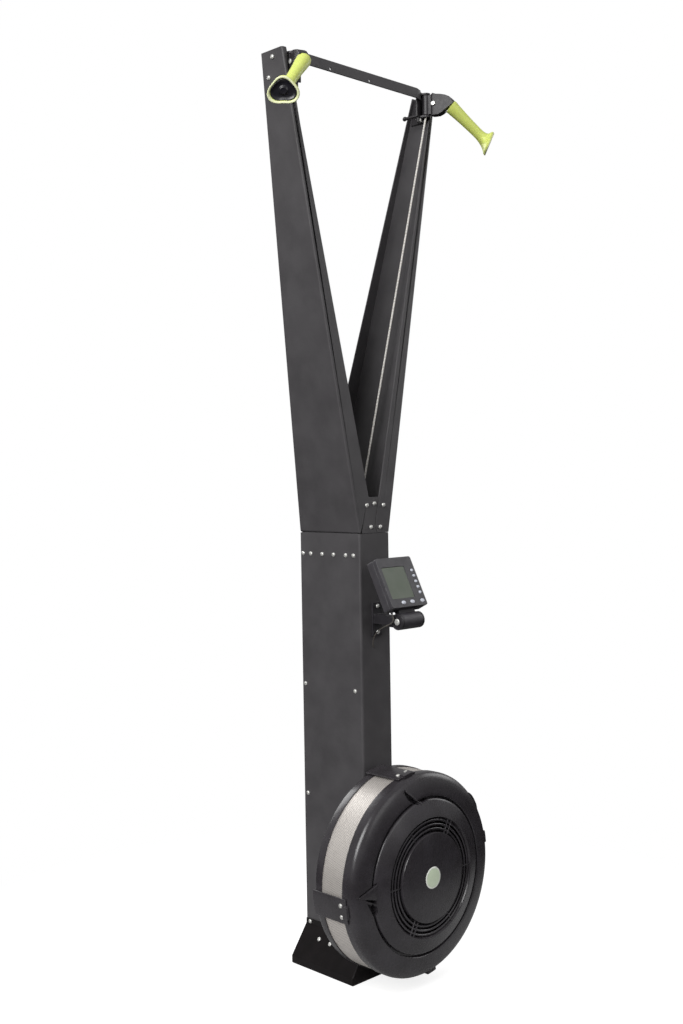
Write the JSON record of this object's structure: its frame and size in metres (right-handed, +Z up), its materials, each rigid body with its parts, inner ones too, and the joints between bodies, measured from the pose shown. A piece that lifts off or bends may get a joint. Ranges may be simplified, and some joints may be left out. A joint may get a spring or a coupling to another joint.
{
  "type": "ski trainer machine",
  "caption": "Wall-held ski trainer: splayed channel arms on a floor column, caged air flywheel, swivelling pulley heads with pull handles and a tilting monitor.",
  "frame": {"origin": "on the floor, under the middle of the column's section", "axes": "+X to the right of a person facing the machine, +Y towards the wall, +Z up the column"},
  "size_m": [0.7333, 0.371, 2.134],
  "materials": {
    "powder_coat": "fine-textured matte powder coat",
    "gloss_black_paint": "gloss",
    "black_plastic": "satin",
    "gloss_black_plastic": "gloss",
    "perforated_steel": "perforated satin sheet",
    "steel": "bright zinc plate",
    "cast_aluminium": "as cast",
    "zinc_steel": "zinc plated",
    "lime_grip": "satin",
    "cord_white": "braided",
    "black_rubber": "matte",
    "nylon": "satin",
    "screen": "gloss",
    "board_green": "matte",
    "battery_wrap": "satin",
    "key_grey": "satin"
  },
  "bodies": {
    "frame": {"column_shell": "powder_coat", "column_back_plate": "powder_coat", "left_arm": "powder_coat", "right_arm": "powder_coat", "arm_joint_plate": "powder_coat", "top_bar": "powder_coat", "base_bracket": "gloss_black_paint", "left_swivel_bracket": "black_plastic", "right_swivel_bracket": "black_plastic", "right_clamp": "black_plastic", "top_clamp": "black_plastic", "left_clamp": "black_plastic", "bottom_clamp": "black_plastic", "monitor_bracket": "black_plastic", "rear_cover": "gloss_black_plastic", "front_cover": "gloss_black_plastic", "perforated_band": "perforated_steel", "monitor_pivot_bolt": "steel", "front_axle_bearing": "steel", "rear_axle_bearing": "steel", "axle_frame": "zinc_steel", "pulley_bracket": "zinc_steel", "cord_anchor": "zinc_steel", "left_drive_cord": "cord_white", "right_drive_cord": "cord_white", "left_return_cord": "black_rubber", "right_return_cord": "black_rubber", "monitor_cable": "black_rubber"},
    "flywheel": {"flywheel_rotor": "cast_aluminium", "flywheel_axle": "steel"},
    "damper": {"damper_ring": "black_plastic"},
    "monitor": {"monitor_front_case": "black_plastic", "monitor_rear_case": "black_plastic", "lcd_window": "screen", "circuit_board": "board_green", "battery_pack": "battery_wrap"},
    "side_button_1": {"side_button_1": "key_grey"},
    "side_button_2": {"side_button_2": "key_grey"},
    "side_button_3": {"side_button_3": "key_grey"},
    "side_button_4": {"side_button_4": "key_grey"},
    "side_button_5": {"side_button_5": "key_grey"},
    "base_button_1": {"base_button_1": "key_grey"},
    "base_button_2": {"base_button_2": "key_grey"},
    "base_button_3": {"base_button_3": "key_grey"},
    "left_head": {"left_pulley_housing": "black_plastic", "left_housing_bolt": "steel"},
    "left_grip": {"left_handle": "lime_grip", "left_cord_end": "cord_white"},
    "left_top_pulley": {"left_top_pulley": "nylon"},
    "left_guide_pulley": {"left_guide_pulley": "nylon"},
    "left_return_pulley": {"left_return_pulley": "nylon"},
    "left_cord_drum": {"left_cord_drum": "cast_aluminium"},
    "right_head": {"right_pulley_housing": "black_plastic", "right_housing_bolt": "steel"},
    "right_grip": {"right_handle": "lime_grip", "right_cord_end": "cord_white"},
    "right_top_pulley": {"right_top_pulley": "nylon"},
    "right_guide_pulley": {"right_guide_pulley": "nylon"},
    "right_return_pulley": {"right_return_pulley": "nylon"},
    "right_cord_drum": {"right_cord_drum": "cast_aluminium"}
  },
  "joints": [
    {"name": "flywheel_spin", "type": "hinge", "parent": "frame", "child": "flywheel", "pos_m": [0, -0.2, 0.2669], "axis": [0, 1, 0], "continuous": true},
    {"name": "damper_turn", "type": "hinge", "parent": "frame", "child": "damper", "pos_m": [0, -0.227, 0.2669], "axis": [0, 1, 0], "range_deg": [-30, 10]},
    {"name": "monitor_tilt", "type": "hinge", "parent": "frame", "child": "monitor", "pos_m": [0, -0.2045, 0.8515], "axis": [1, 0, 0], "range_deg": [-10, 40]},
    {"name": "side_button_1_press", "type": "slide", "parent": "monitor", "child": "side_button_1", "axis": [0, 0.8926, -0.4509], "range_m": [0, 0.0008], "stiffness_N_per_m": 800, "springref_m": -0.0004},
    {"name": "side_button_2_press", "type": "slide", "parent": "monitor", "child": "side_button_2", "axis": [0, 0.8926, -0.4509], "range_m": [0, 0.0008], "stiffness_N_per_m": 800, "springref_m": -0.0004},
    {"name": "side_button_3_press", "type": "slide", "parent": "monitor", "child": "side_button_3", "axis": [0, 0.8926, -0.4509], "range_m": [0, 0.0008], "stiffness_N_per_m": 800, "springref_m": -0.0004},
    {"name": "side_button_4_press", "type": "slide", "parent": "monitor", "child": "side_button_4", "axis": [0, 0.8926, -0.4509], "range_m": [0, 0.0008], "stiffness_N_per_m": 800, "springref_m": -0.0004},
    {"name": "side_button_5_press", "type": "slide", "parent": "monitor", "child": "side_button_5", "axis": [0, 0.8926, -0.4509], "range_m": [0, 0.0008], "stiffness_N_per_m": 800, "springref_m": -0.0004},
    {"name": "base_button_1_press", "type": "slide", "parent": "monitor", "child": "base_button_1", "axis": [0, 0.8926, -0.4509], "range_m": [0, 0.0008], "stiffness_N_per_m": 800, "springref_m": -0.0004},
    {"name": "base_button_2_press", "type": "slide", "parent": "monitor", "child": "base_button_2", "axis": [0, 0.8926, -0.4509], "range_m": [0, 0.0008], "stiffness_N_per_m": 800, "springref_m": -0.0004},
    {"name": "base_button_3_press", "type": "slide", "parent": "monitor", "child": "base_button_3", "axis": [0, 0.8926, -0.4509], "range_m": [0, 0.0008], "stiffness_N_per_m": 800, "springref_m": -0.0004},
    {"name": "left_head_swivel", "type": "hinge", "parent": "frame", "child": "left_head", "pos_m": [-0.225, -0.084, 2.099], "axis": [0, 0, 1], "range_deg": [-12, 28]},
    {"name": "left_handle_pull", "type": "slide", "parent": "left_head", "child": "left_grip", "axis": [-0.6841, -0.2653, -0.6794], "range_m": [0, 1.5], "stiffness_N_per_m": 12, "springref_m": -0.5},
    {"name": "left_top_pulley_spin", "type": "hinge", "parent": "left_head", "child": "left_top_pulley", "pos_m": [-0.23287, -0.10561, 2.0995], "axis": [0.9397, -0.342, 0], "range_deg": [0, 4320]},
    {"name": "right_head_swivel", "type": "hinge", "parent": "frame", "child": "right_head", "pos_m": [0.225, -0.084, 2.099], "axis": [0, 0, 1], "range_deg": [-28, 12]},
    {"name": "right_handle_pull", "type": "slide", "parent": "right_head", "child": "right_grip", "axis": [0.7215, -0.3033, -0.6225], "range_m": [0, 1.5], "stiffness_N_per_m": 12, "springref_m": -0.5},
    {"name": "right_top_pulley_spin", "type": "hinge", "parent": "right_head", "child": "right_top_pulley", "pos_m": [0.23287, -0.10561, 2.0995], "axis": [0.9397, 0.342, 0], "range_deg": [0, 4320]},
    {"name": "left_guide_pulley_spin", "type": "hinge", "parent": "frame", "child": "left_guide_pulley", "pos_m": [-0.02, -0.0619, 1.085], "axis": [0, 1, 0], "range_deg": [-5760, 0]},
    {"name": "left_return_pulley_spin", "type": "hinge", "parent": "frame", "child": "left_return_pulley", "pos_m": [-0.0103, -0.0749, 0.96], "axis": [0, 1, 0], "range_deg": [-6600, 0]},
    {"name": "left_drum_spin", "type": "hinge", "parent": "frame", "child": "left_cord_drum", "pos_m": [0, -0.0679, 0.2669], "axis": [0, 1, 0], "range_deg": [-3800, 0]},
    {"name": "right_guide_pulley_spin", "type": "hinge", "parent": "frame", "child": "right_guide_pulley", "pos_m": [0.02, -0.0419, 1.085], "axis": [0, 1, 0], "range_deg": [0, 5760]},
    {"name": "right_return_pulley_spin", "type": "hinge", "parent": "frame", "child": "right_return_pulley", "pos_m": [-0.0103, -0.0289, 0.96], "axis": [0, 1, 0], "range_deg": [-6600, 0]},
    {"name": "right_drum_spin", "type": "hinge", "parent": "frame", "child": "right_cord_drum", "pos_m": [0, -0.0359, 0.2669], "axis": [0, 1, 0], "range_deg": [-3800, 0]}
  ],
  "couplings": [
    {"joint": "left_top_pulley_spin", "follows": "left_handle_pull", "rad_per_m": 50},
    {"joint": "left_guide_pulley_spin", "follows": "left_handle_pull", "rad_per_m": -66.667},
    {"joint": "left_return_pulley_spin", "follows": "left_handle_pull", "rad_per_m": -76.463},
    {"joint": "left_drum_spin", "follows": "left_handle_pull", "rad_per_m": -44.053},
    {"joint": "right_top_pulley_spin", "follows": "right_handle_pull", "rad_per_m": 50},
    {"joint": "right_guide_pulley_spin", "follows": "right_handle_pull", "rad_per_m": 66.667},
    {"joint": "right_return_pulley_spin", "follows": "right_handle_pull", "rad_per_m": -76.463},
    {"joint": "right_drum_spin", "follows": "right_handle_pull", "rad_per_m": -44.053}
  ]
}
